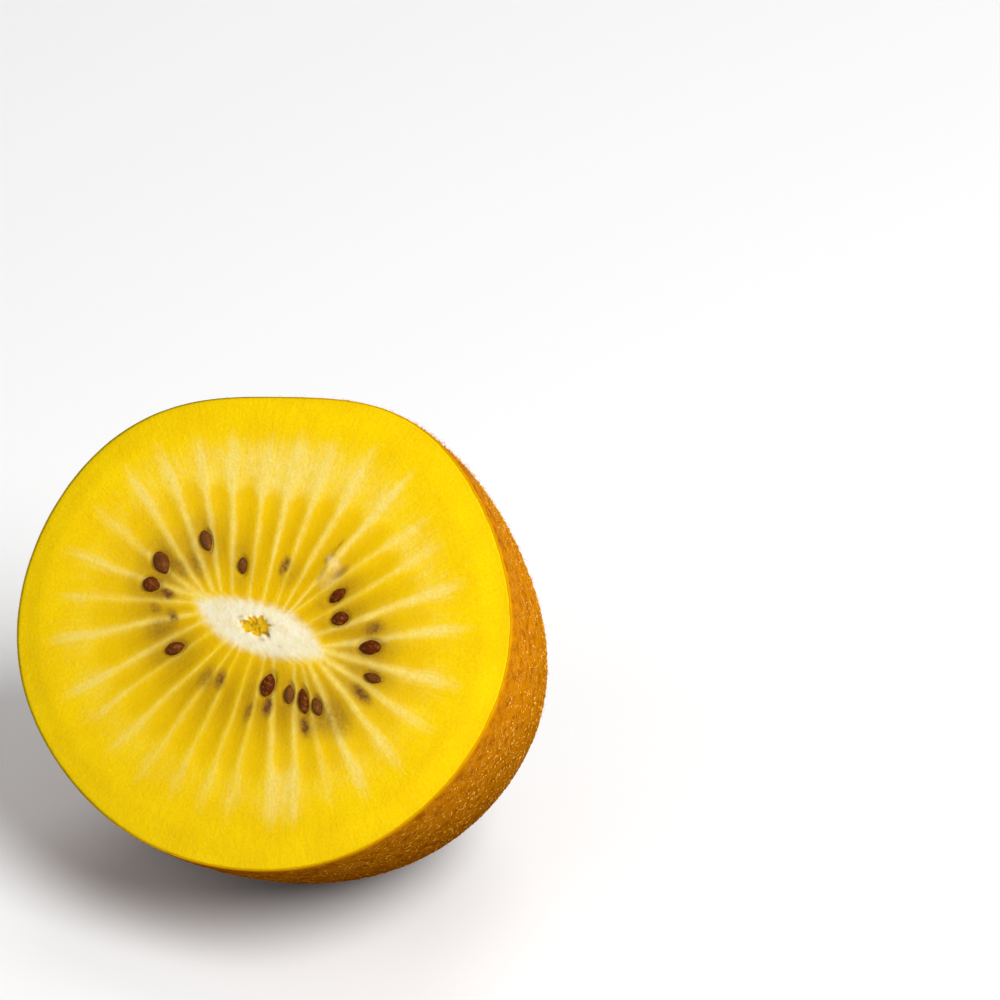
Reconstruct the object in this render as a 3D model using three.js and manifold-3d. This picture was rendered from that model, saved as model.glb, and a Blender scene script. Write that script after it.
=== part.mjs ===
// Half of a golden kiwi fruit, cut across and lying back on its rounded side.
// Millimetres, +Z up. The cut face looks to the front (-Y) and up, and the origin is
// the middle of the small flat spot that the half rests on, under its weight.

import * as THREE from 'three';
import { mergeVertices } from 'three/addons/utils/BufferGeometryUtils.js';
import Module from 'manifold-3d';

const wasm = await Module();
wasm.setup();

// Driving dimensions, in millimetres and degrees. Clock angles are read on the cut
// face, counterclockwise from its right-hand end as seen square-on.
const meanRadius = 26;             // centre of the face to the skin, on average
const halfLength = 35;             // cut face to stem end
const sideFullness = 2.07;         // 2 is an ellipse, more is fuller at the shoulder
const leanBack = 47.6;             // face turned this far from facing straight up
const weightDepth = 13.5;          // centre of weight behind the face
const flatDepth = 0.55;            // how much the rest spot flattens the round side
const skinEdgeDrop = 0.35;         // face falls away by this much at the skin

// The outline isn't quite round: each row is humps in a turn, their height, their clock
const outlineHumps = [
  [1, 0.15, 132],
  [2, 1.69, -1.8],
  [3, 0.32, 55.2],
  [4, 0.23, -20.3],
  [5, 0.2, 1.2],
  [6, 0.15, 16.6],
];

const core = {
  x: 0.2,
  y: -0.1,
  halfWidth: 8.1,
  halfHeight: 2.6,
  turn: -6.5,
  scallop: 0.12,                   // edge is pulled in between rays by this share
  topShare: 0.62,                  // the raised top reaches this far out
  rise: 0.3,
};
const pit = {
  x: -0.2,
  y: -0.15,
  halfWidth: 1.65,
  halfHeight: 0.95,
  lobes: 7,
  lobeDepth: 0.28,
  floorShare: 0.55,
  rimRise: 0.24,
  depth: 1.1,
};

// Each pale ray runs straight from a clock on the core's edge to a clock at the skin
const rays = [
  [14, 1], [24, 17], [42, 29], [57, 41], [73, 50], [75, 63], [80, 77], [87, 89],
  [98, 99], [110, 109], [126, 120], [138, 130], [148, 141], [162, 151], [172, 164],
  [178, 177], [191, 189], [210, 201], [221, 217], [235, 226], [250, 238], [258, 250],
  [263, 263], [274, 273], [284, 282], [292, 295], [311, 302], [320, 313], [329, 323],
  [345, 335], [358, 348],
];
const rayRelief = {
  crest: 0.12,                     // ray stands this far above the level of the face
  trough: 0.42,                    // seed chamber between two rays sinks this far
  deepest: 0.3,                    // share of the way from core to skin
  ends: 0.8,                       // relief has died away at this share
};
const rimStarts = 0.85;            // share at which the face begins to fall to the skin
const columnsPerRay = 4;
const faceRows = [0.05, 0.12, 0.2, 0.3, 0.42, 0.54, 0.66, 0.78, 0.9];

// Seeds that show: x, y, length, width, and the clock that the long axis points to
const seeds = [
  [-9.3, 6.6, 2.5, 1.3, 130], [-13.2, 3.1, 2.8, 1.75, 139], [-13.4, 0.7, 2.1, 1.6, 0],
  [-8.2, -4.7, 2.3, 1.35, 35], [-4.3, 5.3, 1.9, 1.0, 115], [6.95, 5.3, 2.1, 1.15, 58],
  [8.1, 3.2, 2.0, 1.45, 25], [12.4, 1.4, 2.5, 1.5, 17], [13.85, -1.4, 2.1, 1.0, -3],
  [3.2, -5.3, 2.5, 1.55, 94], [5.8, -5.5, 2.1, 1.1, 112], [7.6, -5.7, 2.8, 1.1, 122],
  [9.2, -5.8, 2.1, 1.1, 130],
];
const seedThickness = 1.4;
const seedMiddleDepth = 0.5;       // below the level of the face
const seedSides = [10, 6];

// Stem end: a shallow hollow with the round woody scar standing in it
const stemEnd = {
  hollowRadius: 5.5,
  hollowDepth: 1,
  scarRadius: 2.4,
  scarHeight: 0.8,
  scarSlope: 0.5,
};
const sideRings = 15;
const sideRingsEnd = 73;           // degrees from the cut towards the stem end
const stemRingRadii = [6.4, 5, 3.9, 3.1, 2.5, 2, 1.2];

const fleshColor = 0xe8c208;

const radians = THREE.MathUtils.degToRad;
const { lerp, smoothstep } = THREE.MathUtils;

// Distance from the middle of the face to the skin at a clock angle
function outlineRadius(clock) {
  return outlineHumps.reduce(
    (radius, [humps, height, at]) => radius + height * Math.cos(humps * radians(clock - at)),
    meanRadius,
  );
}

function polar(radius, clock, z) {
  return new THREE.Vector3(radius * Math.cos(radians(clock)), radius * Math.sin(radians(clock)), z);
}

// Point on the core's ellipse, or on a smaller or larger copy of it
function corePoint(clock, share, z) {
  const point = new THREE.Vector3(
    core.halfWidth * share * Math.cos(radians(clock)),
    core.halfHeight * share * Math.sin(radians(clock)),
    z,
  );
  point.applyAxisAngle(new THREE.Vector3(0, 0, 1), radians(core.turn));
  return point.add(new THREE.Vector3(core.x, core.y, 0));
}

// Columns fan out over the face: one on each ray and the rest spread between it and the next
function makeColumns() {
  const columns = [];
  rays.forEach(([root, tip], index) => {
    const next = rays[(index + 1) % rays.length];
    const turn = index === rays.length - 1 ? 360 : 0;
    for (let step = 0; step < columnsPerRay; step += 1) {
      const share = step / columnsPerRay;
      columns.push({
        root: lerp(root, next[0] + turn, share),
        tip: lerp(tip, next[1] + turn, share),
        ridge: (1 + Math.cos(2 * Math.PI * share)) / 2,
      });
    }
  });
  return columns;
}

// Height of the face on a column, at a share of the way from the core to the skin
function faceHeight(column, share) {
  const towardSeeds = smoothstep(share, -rayRelief.deepest, rayRelief.deepest);
  const fade = 1 - smoothstep(share, rayRelief.deepest, rayRelief.ends);
  const relief = lerp(-rayRelief.trough, rayRelief.crest, column.ridge);
  return relief * towardSeeds * fade - skinEdgeDrop * smoothstep(share, rimStarts, 1);
}

function faceRing(columns, share) {
  return columns.map((column) => {
    const scallop = 1 - core.scallop * (1 - column.ridge);
    const from = corePoint(column.root, scallop, 0);
    const to = polar(outlineRadius(column.tip), column.tip, 0);
    return from.lerp(to, share).setZ(faceHeight(column, share));
  });
}

// Star-shaped hollow in the middle of the core
function pitRing(columns, share, z) {
  return columns.map(({ root }) => {
    const lobe = 1 + pit.lobeDepth * Math.sin(radians(root * pit.lobes));
    const x = pit.x + pit.halfWidth * share * lobe * Math.cos(radians(root));
    const y = pit.y + pit.halfHeight * share * lobe * Math.sin(radians(root));
    return new THREE.Vector3(x, y, z);
  });
}

// Rise of the stem end's surface at a distance from the fruit's axis
function stemRise(radius) {
  const hollow = Math.exp(-((radius / stemEnd.hollowRadius) ** 2)) * stemEnd.hollowDepth;
  const { scarRadius, scarSlope } = stemEnd;
  const scar = 1 - smoothstep(radius, scarRadius - scarSlope, scarRadius + scarSlope);
  return scar * stemEnd.scarHeight - hollow;
}

// Ring of the rounded side, narrowed to a share of the outline
function sideRing(columns, share) {
  const depth = halfLength * (1 - share ** sideFullness) ** (1 / sideFullness);
  return columns.map(({ tip }) => {
    const radius = outlineRadius(tip) * share;
    return polar(radius, tip, -skinEdgeDrop - depth - stemRise(radius));
  });
}

const every = (list, count) => list.filter((_, index) => index % count === 0);

// Rings from the middle of the cut face out to the skin and round to the stem end
function makeRings() {
  const columns = makeColumns();
  const sideColumns = every(columns, 2);
  const rayColumns = every(columns, columnsPerRay);
  const coreTop = sideColumns.map(({ root }) => corePoint(root, core.topShare, core.rise));
  const sideShares = [];
  for (let ring = 1; ring <= sideRings; ring += 1) {
    const turn = radians((ring / sideRings) * sideRingsEnd);
    sideShares.push(Math.cos(turn) ** (2 / sideFullness));
  }
  const stemShares = stemRingRadii.map((radius) => radius / meanRadius);
  return [
    pitRing(rayColumns, pit.floorShare, -pit.depth),
    pitRing(rayColumns, 1, pit.rimRise),
    coreTop,
    ...[0, ...faceRows, 1].map((share) => faceRing(columns, share)),
    ...[...sideShares, ...stemShares].map((share) => sideRing(sideColumns, share)),
  ];
}

// Triangles between two neighbouring rings, which have as many points or twice as many
function stitch(inner, outer, addTriangle) {
  const at = (ring, index) => ring[index % ring.length];
  const count = Math.min(inner.length, outer.length);
  for (let i = 0; i < count; i += 1) {
    if (inner.length === outer.length) {
      addTriangle(at(inner, i), at(outer, i), at(outer, i + 1));
      addTriangle(at(inner, i), at(outer, i + 1), at(inner, i + 1));
    } else if (outer.length > inner.length) {
      addTriangle(at(inner, i), at(outer, 2 * i), at(outer, 2 * i + 1));
      addTriangle(at(inner, i), at(outer, 2 * i + 1), at(inner, i + 1));
      addTriangle(at(inner, i + 1), at(outer, 2 * i + 1), at(outer, 2 * i + 2));
    } else {
      addTriangle(at(inner, 2 * i), at(outer, i), at(inner, 2 * i + 1));
      addTriangle(at(inner, 2 * i + 1), at(outer, i), at(outer, i + 1));
      addTriangle(at(inner, 2 * i + 1), at(outer, i + 1), at(inner, 2 * i + 2));
    }
  }
}

function fruitGeometry() {
  const positions = [];
  const addTriangle = (...corners) => corners.forEach(({ x, y, z }) => positions.push(x, y, z));
  const rings = makeRings();
  const pitFloor = new THREE.Vector3(pit.x, pit.y, -pit.depth);
  const stemTip = new THREE.Vector3(0, 0, -skinEdgeDrop - halfLength - stemRise(0));
  const last = rings.at(-1);
  rings[0].forEach((point, i) => addTriangle(pitFloor, point, rings[0][(i + 1) % rings[0].length]));
  rings.slice(1).forEach((ring, i) => stitch(rings[i], ring, addTriangle));
  last.forEach((point, i) => addTriangle(stemTip, last[(i + 1) % last.length], point));
  const geometry = new THREE.BufferGeometry();
  geometry.setAttribute('position', new THREE.Float32BufferAttribute(positions, 3));
  return mergeVertices(geometry, 1e-4);
}

// One seed, mostly sunk in the flesh and a little proud of it
function seedGeometry([x, y, length, width, clock]) {
  const geometry = new THREE.SphereGeometry(1, ...seedSides);
  geometry.rotateX(Math.PI / 2);
  geometry.scale(length / 2, width / 2, seedThickness / 2);
  geometry.rotateZ(radians(clock));
  geometry.translate(x, y, -seedMiddleDepth);
  return geometry;
}

function toSolid(geometry) {
  const bare = geometry.clone();
  bare.deleteAttribute('normal');
  bare.deleteAttribute('uv');
  const merged = mergeVertices(bare, 1e-4);
  return new wasm.Manifold(new wasm.Mesh({
    numProp: 3,
    vertProperties: new Float32Array(merged.attributes.position.array),
    triVerts: new Uint32Array(merged.index.array),
  }));
}

function toGeometry(solid) {
  const { vertProperties, triVerts } = solid.getMesh();
  const geometry = new THREE.BufferGeometry();
  geometry.setAttribute('position', new THREE.BufferAttribute(vertProperties, 3));
  geometry.setIndex(new THREE.BufferAttribute(triVerts, 1));
  geometry.computeVertexNormals();
  return geometry;
}

// Lean the half back and set it down so that the rest spot comes out flat at the floor
function setDown(half, solid) {
  half.rotation.x = radians(leanBack);
  half.updateMatrixWorld();
  const box = new THREE.Box3().setFromBufferAttribute(
    toGeometry(solid).applyMatrix4(half.matrixWorld).attributes.position,
  );
  half.position.set(0, -weightDepth * Math.sin(radians(leanBack)), -box.min.z - flatDepth);
  half.updateMatrixWorld();
  const floor = new THREE.BoxGeometry(60, 60, 10).translate(0, 0, -5);
  floor.applyMatrix4(half.matrixWorld.clone().invert());
  return solid.subtract(toSolid(floor));
}

let solid = toSolid(fruitGeometry());
for (const seed of seeds) {
  solid = solid.add(toSolid(seedGeometry(seed)));
}

const half = new THREE.Mesh();
half.name = 'kiwi_half';
half.material = new THREE.MeshStandardMaterial({ color: fleshColor, roughness: 0.5, metalness: 0 });
half.geometry = toGeometry(setDown(half, solid));

const part = new THREE.Group();
part.add(half);

export default part;
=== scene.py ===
import math

import bpy
import numpy as np
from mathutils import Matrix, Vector, noise


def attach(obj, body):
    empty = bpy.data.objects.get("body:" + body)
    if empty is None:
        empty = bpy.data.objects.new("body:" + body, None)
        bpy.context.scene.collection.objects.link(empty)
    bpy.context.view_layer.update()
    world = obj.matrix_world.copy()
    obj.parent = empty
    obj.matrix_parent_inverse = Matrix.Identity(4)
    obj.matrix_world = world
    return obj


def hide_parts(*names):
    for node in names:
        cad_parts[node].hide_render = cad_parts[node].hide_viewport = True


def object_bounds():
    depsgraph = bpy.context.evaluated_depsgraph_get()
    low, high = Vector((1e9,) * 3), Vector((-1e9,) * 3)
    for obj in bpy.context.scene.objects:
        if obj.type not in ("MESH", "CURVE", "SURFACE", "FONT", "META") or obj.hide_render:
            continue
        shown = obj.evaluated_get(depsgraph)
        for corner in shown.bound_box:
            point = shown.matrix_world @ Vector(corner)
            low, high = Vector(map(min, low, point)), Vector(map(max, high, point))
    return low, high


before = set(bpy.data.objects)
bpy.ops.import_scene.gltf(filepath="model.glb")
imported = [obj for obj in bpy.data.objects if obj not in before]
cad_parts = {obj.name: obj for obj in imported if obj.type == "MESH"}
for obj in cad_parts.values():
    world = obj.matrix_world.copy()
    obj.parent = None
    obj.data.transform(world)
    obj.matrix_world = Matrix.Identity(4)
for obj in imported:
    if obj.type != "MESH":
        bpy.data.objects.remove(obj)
cadLow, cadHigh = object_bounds()
print("frame loaded")

mm = 0.001
solidNode = "kiwi_half"

# The half fruit as it lies, in mm and degrees. Clocks are read on the cut face,
# counterclockwise from its right-hand end
fruit = {
    "meanRadius": 26.0,
    "humps": [  # how many in a turn of the outline, how high, and the clock of the first
        (1, 0.15, 132), (2, 1.69, -1.8), (3, 0.32, 55.2), (4, 0.23, -20.3), (5, 0.2, 1.2), (6, 0.15, 16.6),
    ],
    "halfLength": 35.0,             # from the cut to the stem end
    "sideFullness": 2.07,           # 2 is an ellipse, more is fuller at the shoulder
    "sideTurn": 73,                 # degrees from the cut to where the stem end's rings begin
    "leanBack": 47.6,               # how far the face is turned from facing straight up
    "weightDepth": 13.5,            # from the face back to the middle of the weight
    "edgeDrop": 0.35,               # how far the face falls away at the skin
    "skinThickness": 0.13,
    "hollowRadius": 5.5,            # the hollow that the stem scar stands in
    "hollowDepth": 1.0,
    "restRounding": 0.05,           # how softly the side turns into the flat spot
}
lean = math.radians(fruit["leanBack"])


def smooth(value, low, high):
    share = np.clip((np.asarray(value, float) - low) / (high - low), 0, 1)
    return share * share * (3 - 2 * share)


def blend(a, b, share):
    return a + (b - a) * share


def outlineRadius(clock):
    waves = [height * np.cos(np.radians(count * (clock - at))) for count, height, at in fruit["humps"]]
    return fruit["meanRadius"] + sum(waves)


def onOutline(clock, share=1.0):
    radius = outlineRadius(clock) * share
    return radius * np.cos(np.radians(clock)), radius * np.sin(np.radians(clock))


def sidePoint(clock, share):  # on the rounded side, narrowed to a share of the outline
    x, y = onOutline(clock, share)
    power = fruit["sideFullness"]
    depth = fruit["halfLength"] * np.clip(1 - share**power, 0, 1) ** (1 / power)
    hollow = fruit["hollowDepth"] * np.exp(-(x * x + y * y) / fruit["hollowRadius"] ** 2)
    return np.stack(np.broadcast_arrays(x, y, hollow - depth - fruit["edgeDrop"]), axis=-1)


def sideShares(sideRings, endRings):  # from the cut to the stem end, evenly spread
    turns = np.radians(np.linspace(0, fruit["sideTurn"], sideRings + 1)[1:])
    sides = np.cos(turns) ** (2 / fruit["sideFullness"])
    return np.concatenate([sides, np.linspace(sides[-1], 0, endRings + 2)[1:-1]])


outlineTop = onOutline(np.arange(0, 360, 0.5))[1].max()
lift = cadHigh.z / mm - outlineTop * math.sin(lean) + fruit["edgeDrop"] * math.cos(lean)


def toWorld(points, floor=0.0):  # from mm in the face's frame to metres, pressed flat at the floor
    x, y, z = np.moveaxis(np.asarray(points, float), -1, 0)
    back = y * math.cos(lean) - (z + fruit["weightDepth"]) * math.sin(lean)
    up = y * math.sin(lean) + z * math.cos(lean) + lift
    rounding = fruit["restRounding"]
    pressed = floor + np.logaddexp(0, (up - floor) / rounding) * rounding
    return np.stack([x, back, pressed], axis=-1) * mm


def bumps(points, size, seed=0.0):  # soft noise from -1 to 1 at each point, for lumps of a size in mm
    return np.array([noise.noise(Vector(p) / size + Vector((seed, 0, 0))) for p in points.tolist()])


def flatBumps(x, y, size, seed):
    return bumps(np.stack([x, y, 0 * x], axis=-1), size, seed)


# Meshes

def makePiece(name, points, faces, material, floor=0.0):
    mesh = bpy.data.meshes.new(name)
    mesh.from_pydata(toWorld(points, floor).tolist(), [], faces)
    mesh.shade_smooth()
    mesh.materials.append(material)
    piece = bpy.data.objects.new(name, mesh)
    bpy.context.scene.collection.objects.link(piece)
    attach(piece, "root")
    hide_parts(solidNode)
    print(f"{name}: {len(mesh.polygons)} faces")
    return piece


def store(piece, name, values, kind="FLOAT"):  # one value a point, which the material reads by name
    layer = piece.data.attributes.new(name, kind, "POINT")
    field = "value" if kind == "FLOAT" else "vector"
    layer.data.foreach_set(field, np.asarray(values, np.float32).ravel())


def loft(start, rings, end):  # a closed skin through rings of one count, drawn to a point at both ends
    rings = np.asarray(rings, float)
    count, columns = rings.shape[:2]
    points = np.concatenate([[start], rings.reshape(-1, 3), [end]])
    here = 1 + np.arange(columns)
    after = 1 + (np.arange(columns) + 1) % columns
    step = columns * np.arange(count - 1)[:, None]
    quads = np.stack([here + step, here + step + columns, after + step + columns, after + step], axis=-1)
    last = len(points) - 1
    top = columns * (count - 1)
    faces = quads.reshape(-1, 4).tolist()
    faces += [[0, a, b] for a, b in zip(here.tolist(), after.tolist())]
    faces += [[last, b, a] for a, b in zip((here + top).tolist(), (after + top).tolist())]
    return points, faces


# Materials

def srgb(red, green, blue):  # screen colour, 0 to 255, as a shader colour
    def channel(value):
        value /= 255
        return value / 12.92 if value <= 0.04045 else ((value + 0.055) / 1.055) ** 2.4
    return (channel(red), channel(green), channel(blue), 1.0)


class Wire:  # a socket that takes part in sums
    def __init__(self, shader, socket):
        self.shader = shader
        self.socket = socket

    def maths(self, operation, first, second):
        return self.shader.add("ShaderNodeMath", {"operation": operation}, {0: first, 1: second})

    def __add__(self, other):
        return self.maths("ADD", self, other)

    def __radd__(self, other):
        return self.maths("ADD", other, self)

    def __sub__(self, other):
        return self.maths("SUBTRACT", self, other)

    def __rsub__(self, other):
        return self.maths("SUBTRACT", other, self)

    def __mul__(self, other):
        return self.maths("MULTIPLY", self, other)

    def __rmul__(self, other):
        return self.maths("MULTIPLY", other, self)


class Shader:  # builds one material
    def __init__(self, name):
        self.material = bpy.data.materials.new(name)
        self.material.use_nodes = True
        self.tree = self.material.node_tree
        self.tree.nodes.clear()

    def add(self, kind, settings=None, sockets=None, out=0):
        item = self.tree.nodes.new(kind)
        for key, value in (settings or {}).items():
            setattr(item, key, value)
        for key, value in (sockets or {}).items():
            if isinstance(value, Wire):
                self.tree.links.new(value.socket, item.inputs[key])
            else:
                item.inputs[key].default_value = value
        return Wire(self, item.outputs[out]) if item.outputs else None

    def place(self):  # where the point is on the fruit, in mm
        spot = self.add("ShaderNodeTexCoord", out="Object")
        return self.add("ShaderNodeVectorMath", {"operation": "SCALE"}, {0: spot, "Scale": 1 / mm})

    def stored(self, name, out="Fac"):
        return self.add("ShaderNodeAttribute", {"attribute_name": name}, out=out)

    def cloud(self, spot, size, detail=2.0, roughness=0.5):  # mostly near a half
        sockets = {"Vector": spot, "Scale": 1 / size, "Detail": detail, "Roughness": roughness}
        return self.add("ShaderNodeTexNoise", None, sockets, out="Fac")

    def cells(self, spot, size):  # 0 in the middle of each cell, and about a half where cells meet
        return self.add("ShaderNodeTexVoronoi", None, {"Vector": spot, "Scale": 1 / size}, out="Distance")

    def ease(self, value, low, high, start=0.0, stop=1.0):
        sockets = {"Value": value, "From Min": low, "From Max": high, "To Min": start, "To Max": stop}
        return self.add("ShaderNodeMapRange", {"interpolation_type": "SMOOTHSTEP"}, sockets)

    def frayed(self, value, cloud, amount):  # rough where the value is half way, clean where it is 0 or 1
        return value + (cloud - 0.5) * amount * value * (1 - value)

    def cover(self, value, other, least, added):  # the least where the other is 0, and more where it is 1
        return value * (least + added * other)

    def tint(self, under, over, share):  # inputs 0, 6 and 7 are the share and the two colours
        return self.add("ShaderNodeMix", {"data_type": "RGBA"}, {0: share, 6: under, 7: over}, out=2)

    def bump(self, height, depth, normal=None):  # depth in mm
        sockets = {"Height": height, "Distance": depth * mm, "Strength": 1.0}
        if normal:
            sockets["Normal"] = normal
        return self.add("ShaderNodeBump", None, sockets, out="Normal")

    def finish(self, sockets):
        surface = self.add("ShaderNodeBsdfPrincipled", None, sockets)
        self.add("ShaderNodeOutputMaterial", None, {"Surface": surface})
        return self.material


# The cut face, with everything under the skin

fleshLook = {
    "yellow": srgb(252, 212, 0),
    "deepYellow": srgb(246, 203, 0),
    "gold": srgb(230, 180, 0),
    "deep": srgb(176, 130, 6),
    "pale": srgb(248, 222, 118),
    # a greener yellow for the left rim, also used as painted shade towards the lower left
    "edge": srgb(200, 172, 0),
    "shade": srgb(224, 180, 0),
    # pale specks: partly the flesh's granules, partly painted glints of moist cells
    "granuleAndGlint": srgb(255, 232, 70),
    "smudge": srgb(118, 74, 34),
    "husk": srgb(244, 214, 140),
    "core": srgb(246, 236, 204),
    "coreDeep": srgb(240, 226, 182),
    "pit": srgb(226, 180, 24),
    "pitDeep": srgb(176, 126, 4),
    # how thick each colour lies: at the least, and what a cloud adds to that
    "goldCover": (0.55, 0.5),
    "deepCover": (0.3, 0.8),
    "edgeCover": (0.3, 0.8),
    "smudgeCover": (0.8, 0.45),
    "huskCover": (0.6, 0.6),
    "paleCover": (0.66, 1.0),       # from the least to the most
    "shadeCover": 0.25,
    "granuleAndGlintCover": (0.22, 0.2),    # in the outer flesh, and on the rays
    # how ragged the edges of colours are, and the streaks, blots and crumbs in them
    "goldFray": 3.0,
    "paleFray": 4.8,
    "pitFray": 10.0,
    "ragged": (0.7, 0.18, 0.12),
    # sizes and depths in mm
    "streakSize": 1.0,
    "fraySize": 0.45,
    "patchSize": 4.0,
    "blotSize": 0.9,
    "crumbSize": 0.45,
    "grainSize": 0.22,
    "granuleSize": 0.42,
    "cellSize": 0.35,
    "cellDepth": 0.03,
    "streakDepth": 0.04,
    # the shine of moist flesh, and the light that it lets in
    "roughness": (0.35, 0.55),
    "specular": 0.05,
    "softness": 0.25,
    "softReach": 0.6,
    "softColor": (1.0, 0.7, 0.15),
}


def makeFleshMaterial(look):
    shader = Shader("cut flesh")
    spot = shader.place()
    fan = shader.stored("fan", "Vector")
    outward = shader.stored("outward")
    streak = shader.cloud(fan, look["streakSize"], 3.0)
    fray = shader.cloud(fan, look["fraySize"], 2.0)
    patch = shader.cloud(spot, look["patchSize"], 2.0)
    blot = shader.cloud(spot, look["blotSize"], 3.0, 0.6)
    crumb = shader.cloud(spot, look["crumbSize"], 2.0, 0.6)
    grain = shader.cloud(spot, look["grainSize"], 2.0, 0.6)
    streaks, blots, crumbs = look["ragged"]
    ragged = streaks * streak + blots * blot + crumbs * crumb
    speckled = shader.ease(crumb, 0.35, 0.65)

    # chambers, rays and the flesh round them
    color = shader.tint(look["deepYellow"], look["yellow"], shader.ease(patch, 0.3, 0.7))
    gold = shader.frayed(shader.stored("gold"), ragged, look["goldFray"])
    color = shader.tint(color, look["gold"], shader.cover(gold, fray, *look["goldCover"]))
    deep = shader.cover(shader.stored("deep"), streak, *look["deepCover"])
    color = shader.tint(color, look["deep"], deep)
    pale = shader.ease(shader.frayed(shader.stored("pale"), ragged, look["paleFray"]), 0.05, 1.0)
    color = shader.tint(color, look["pale"], pale * shader.ease(blot, 0.35, 0.65, *look["paleCover"]))
    # the greener rim at the left, and painted shade towards the lower left
    color = shader.tint(color, look["edge"], shader.cover(shader.stored("edge"), blot, *look["edgeCover"]))
    color = shader.tint(color, look["shade"], shader.ease(grain, 0.55, 0.3) * look["shadeCover"])
    # painted highlight: bright specks for the granules and the glints of moist flesh
    granuleAndGlint = shader.ease(shader.cells(spot, look["granuleSize"]), 0.45, 0.15)
    granuleAndGlint = granuleAndGlint * shader.ease(blot, 0.45, 0.7)
    inFlesh, onRays = look["granuleAndGlintCover"]
    color = shader.tint(color, look["granuleAndGlint"], granuleAndGlint * (inFlesh * outward + onRays * pale))

    # the core and its hollow
    mottle = shader.tint(look["coreDeep"], look["core"], shader.ease(blot, 0.35, 0.65))
    color = shader.tint(color, mottle, shader.stored("core"))
    hollow = shader.tint(look["pitDeep"], look["pit"], shader.ease(crumb, 0.32, 0.55))
    pitEdge = shader.frayed(shader.stored("pit"), 0.5 * crumb + 0.5 * grain, look["pitFray"])
    color = shader.tint(color, hollow, shader.ease(pitEdge, 0.25, 0.55))

    # what shows of deeper and of crushed seeds
    smudge = shader.cover(shader.stored("veil"), speckled, *look["smudgeCover"])
    color = shader.tint(color, look["smudge"], smudge)
    husk = shader.cover(shader.stored("husk"), speckled, *look["huskCover"])
    color = shader.tint(color, look["husk"], husk)

    cell = shader.cells(spot, look["cellSize"])
    normal = shader.bump(cell + 0.6 * grain, look["cellDepth"])
    normal = shader.bump(streak * outward, look["streakDepth"], normal)
    return shader.finish({
        "Base Color": color,
        "Roughness": shader.ease(grain, 0.3, 0.7, *look["roughness"]),
        "Normal": normal,
        "Subsurface Weight": look["softness"],
        "Subsurface Radius": look["softColor"],
        "Subsurface Scale": look["softReach"] * mm,
        "Specular IOR Level": look["specular"],
    })


# Each ray: clock on the core's edge, clock at the skin, how pale it is,
# and how pale the flesh is past the end of the seed chamber that follows it
rays = [
    (14, 1, 1.0, 0.10), (24, 17, 0.90, 0.15), (42, 29, 0.90, 0.35), (57, 41, 0.50, 0.50),
    (73, 50, 0.50, 0.15), (75, 63, 0.90, 0.40), (80, 77, 0.85, 0.50), (87, 89, 0.70, 0.75),
    (98, 99, 0.90, 0.80), (110, 109, 0.75, 0.65), (126, 120, 0.90, 0.50), (138, 130, 0.80, 0.35),
    (148, 141, 0.80, 0.30), (162, 151, 0.75, 0.15), (172, 164, 0.60, 0.05), (178, 177, 0.75, 0.10),
    (191, 189, 0.55, 0.10), (210, 201, 0.80, 0.25), (221, 217, 0.70, 0.20), (235, 226, 0.48, 0.20),
    (250, 238, 0.62, 0.15), (258, 250, 0.52, 0.20), (263, 263, 0.45, 0.15), (274, 273, 0.45, 0.20),
    (284, 282, 0.52, 0.20), (292, 295, 0.80, 0.65), (311, 302, 0.80, 0.10), (320, 313, 0.50, 0.15),
    (329, 323, 0.85, 0.20), (345, 335, 0.78, 0.12), (358, 348, 0.80, 0.08),
]
# Smudges where a seed lies deeper: x, y, half length, half width, clock, strength
smudges = [
    (12.1, 3.3, 1.5, 1.0, 25, 0.75), (13.4, -3.3, 1.8, 0.8, 155, 0.85), (2.2, -8.4, 1.4, 0.6, 92, 0.7),
    (-1.9, -6.3, 1.3, 0.8, 95, 0.8), (-3.4, -6.6, 1.6, 1.1, 80, 0.5), (-9.6, -1.8, 1.2, 0.7, 150, 0.75),
    (-11.9, -1.5, 1.1, 0.7, 160, 0.5), (-11.0, 3.2, 1.9, 1.1, 150, 0.5), (-9.3, 4.0, 2.2, 0.9, 140, 0.5),
    (-10.3, -3.2, 2.3, 1.5, 40, 0.45), (4.7, 8.6, 0.9, 0.4, 60, 0.7), (6.4, 7.5, 1.3, 0.5, 55, 0.7),
    (5.1, 9.9, 1.3, 0.25, 65, 0.5), (4.6, 7.0, 1.5, 0.4, 75, 0.4), (11.6, -6.3, 3.0, 1.7, 150, 0.5),
    (3.9, -6.6, 2.2, 1.2, 100, 0.35), (9.8, -7.0, 2.4, 1.5, 125, 0.4), (-11.8, 0.0, 2.0, 1.0, 5, 0.4),
    (0.3, 6.5, 1.4, 0.75, 85, 0.8), (1.2, 5.8, 2.0, 1.6, 60, 0.25), (1.3, -0.55, 0.6, 0.25, 140, 0.8),
    (0.9, -1.2, 0.5, 0.3, 0, 0.3), (-2.3, 0.35, 0.4, 0.25, 30, 0.4), (3.1, -1.3, 0.3, 0.2, 0, 0.25),
    (4.1, -7.4, 1.4, 0.8, 102, 1.0), (8.9, -8.0, 1.4, 0.75, 125, 0.9), (-11.2, 0.3, 1.2, 0.7, 170, 1.0),
]
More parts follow.
